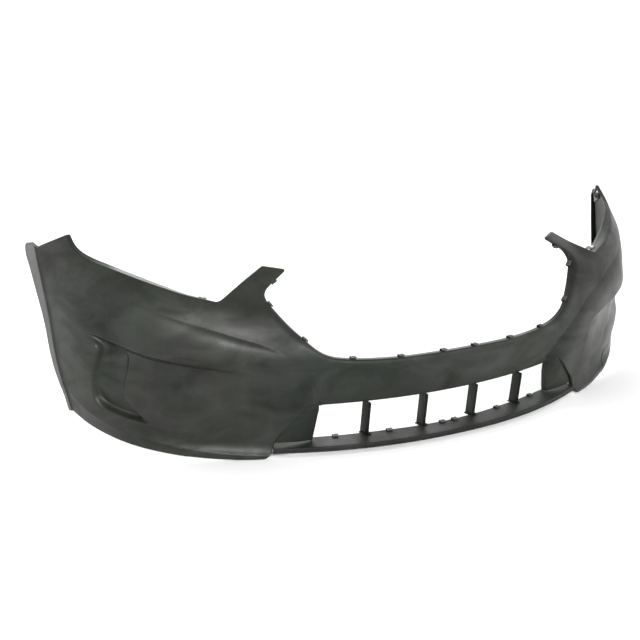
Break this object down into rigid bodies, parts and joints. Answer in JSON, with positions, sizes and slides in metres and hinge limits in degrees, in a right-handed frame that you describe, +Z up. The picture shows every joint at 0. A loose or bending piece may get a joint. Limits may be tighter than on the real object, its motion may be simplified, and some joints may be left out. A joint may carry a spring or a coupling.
{
  "type": "bumper cover",
  "caption": "Front bumper cover of a full-size sedan: curved moulded skin with grille notch, horns and wings, lower opening with struts, lip valance, clips, rails and tabs.",
  "frame": {"origin": "middle of the footprint, at the height of the lowest edge", "axes": "+Z up as on the car, -Y towards the front of the car, X across the car; the part is symmetric about the plane X = 0"},
  "size_m": [1.9764, 0.5766, 0.5591],
  "materials": {
    "skin_plastic": "satin moulded",
    "valance_plastic": "fine grained",
    "strut_plastic": "satin moulded",
    "panel_plastic": "satin moulded",
    "rail_plastic": "matt moulded",
    "pin_plastic": "matt",
    "clip_steel": "phosphate coated",
    "screw_steel": "zinc and black coating",
    "rivet_metal": "plain"
  },
  "bodies": {
    "root": {"fascia_skin": "skin_plastic", "lower_valance": "valance_plastic", "opening_strut_1": "strut_plastic", "opening_strut_2": "strut_plastic", "opening_strut_3": "strut_plastic", "opening_strut_4": "strut_plastic", "strut_screws": "screw_steel", "grille_low_clips": "clip_steel", "grille_side_clips": "clip_steel", "valance_clips": "clip_steel", "valance_push_pins": "pin_plastic", "recess_panel_right": "panel_plastic", "recess_panel_left": "panel_plastic", "fender_rail_right": "rail_plastic", "fender_rail_left": "rail_plastic", "fender_rail_rivets": "rivet_metal", "headlamp_tab_right": "rail_plastic", "headlamp_tab_left": "rail_plastic", "headlamp_tab_rivets": "rivet_metal", "wing_tip_blocks": "pin_plastic"}
  },
  "joints": []
}
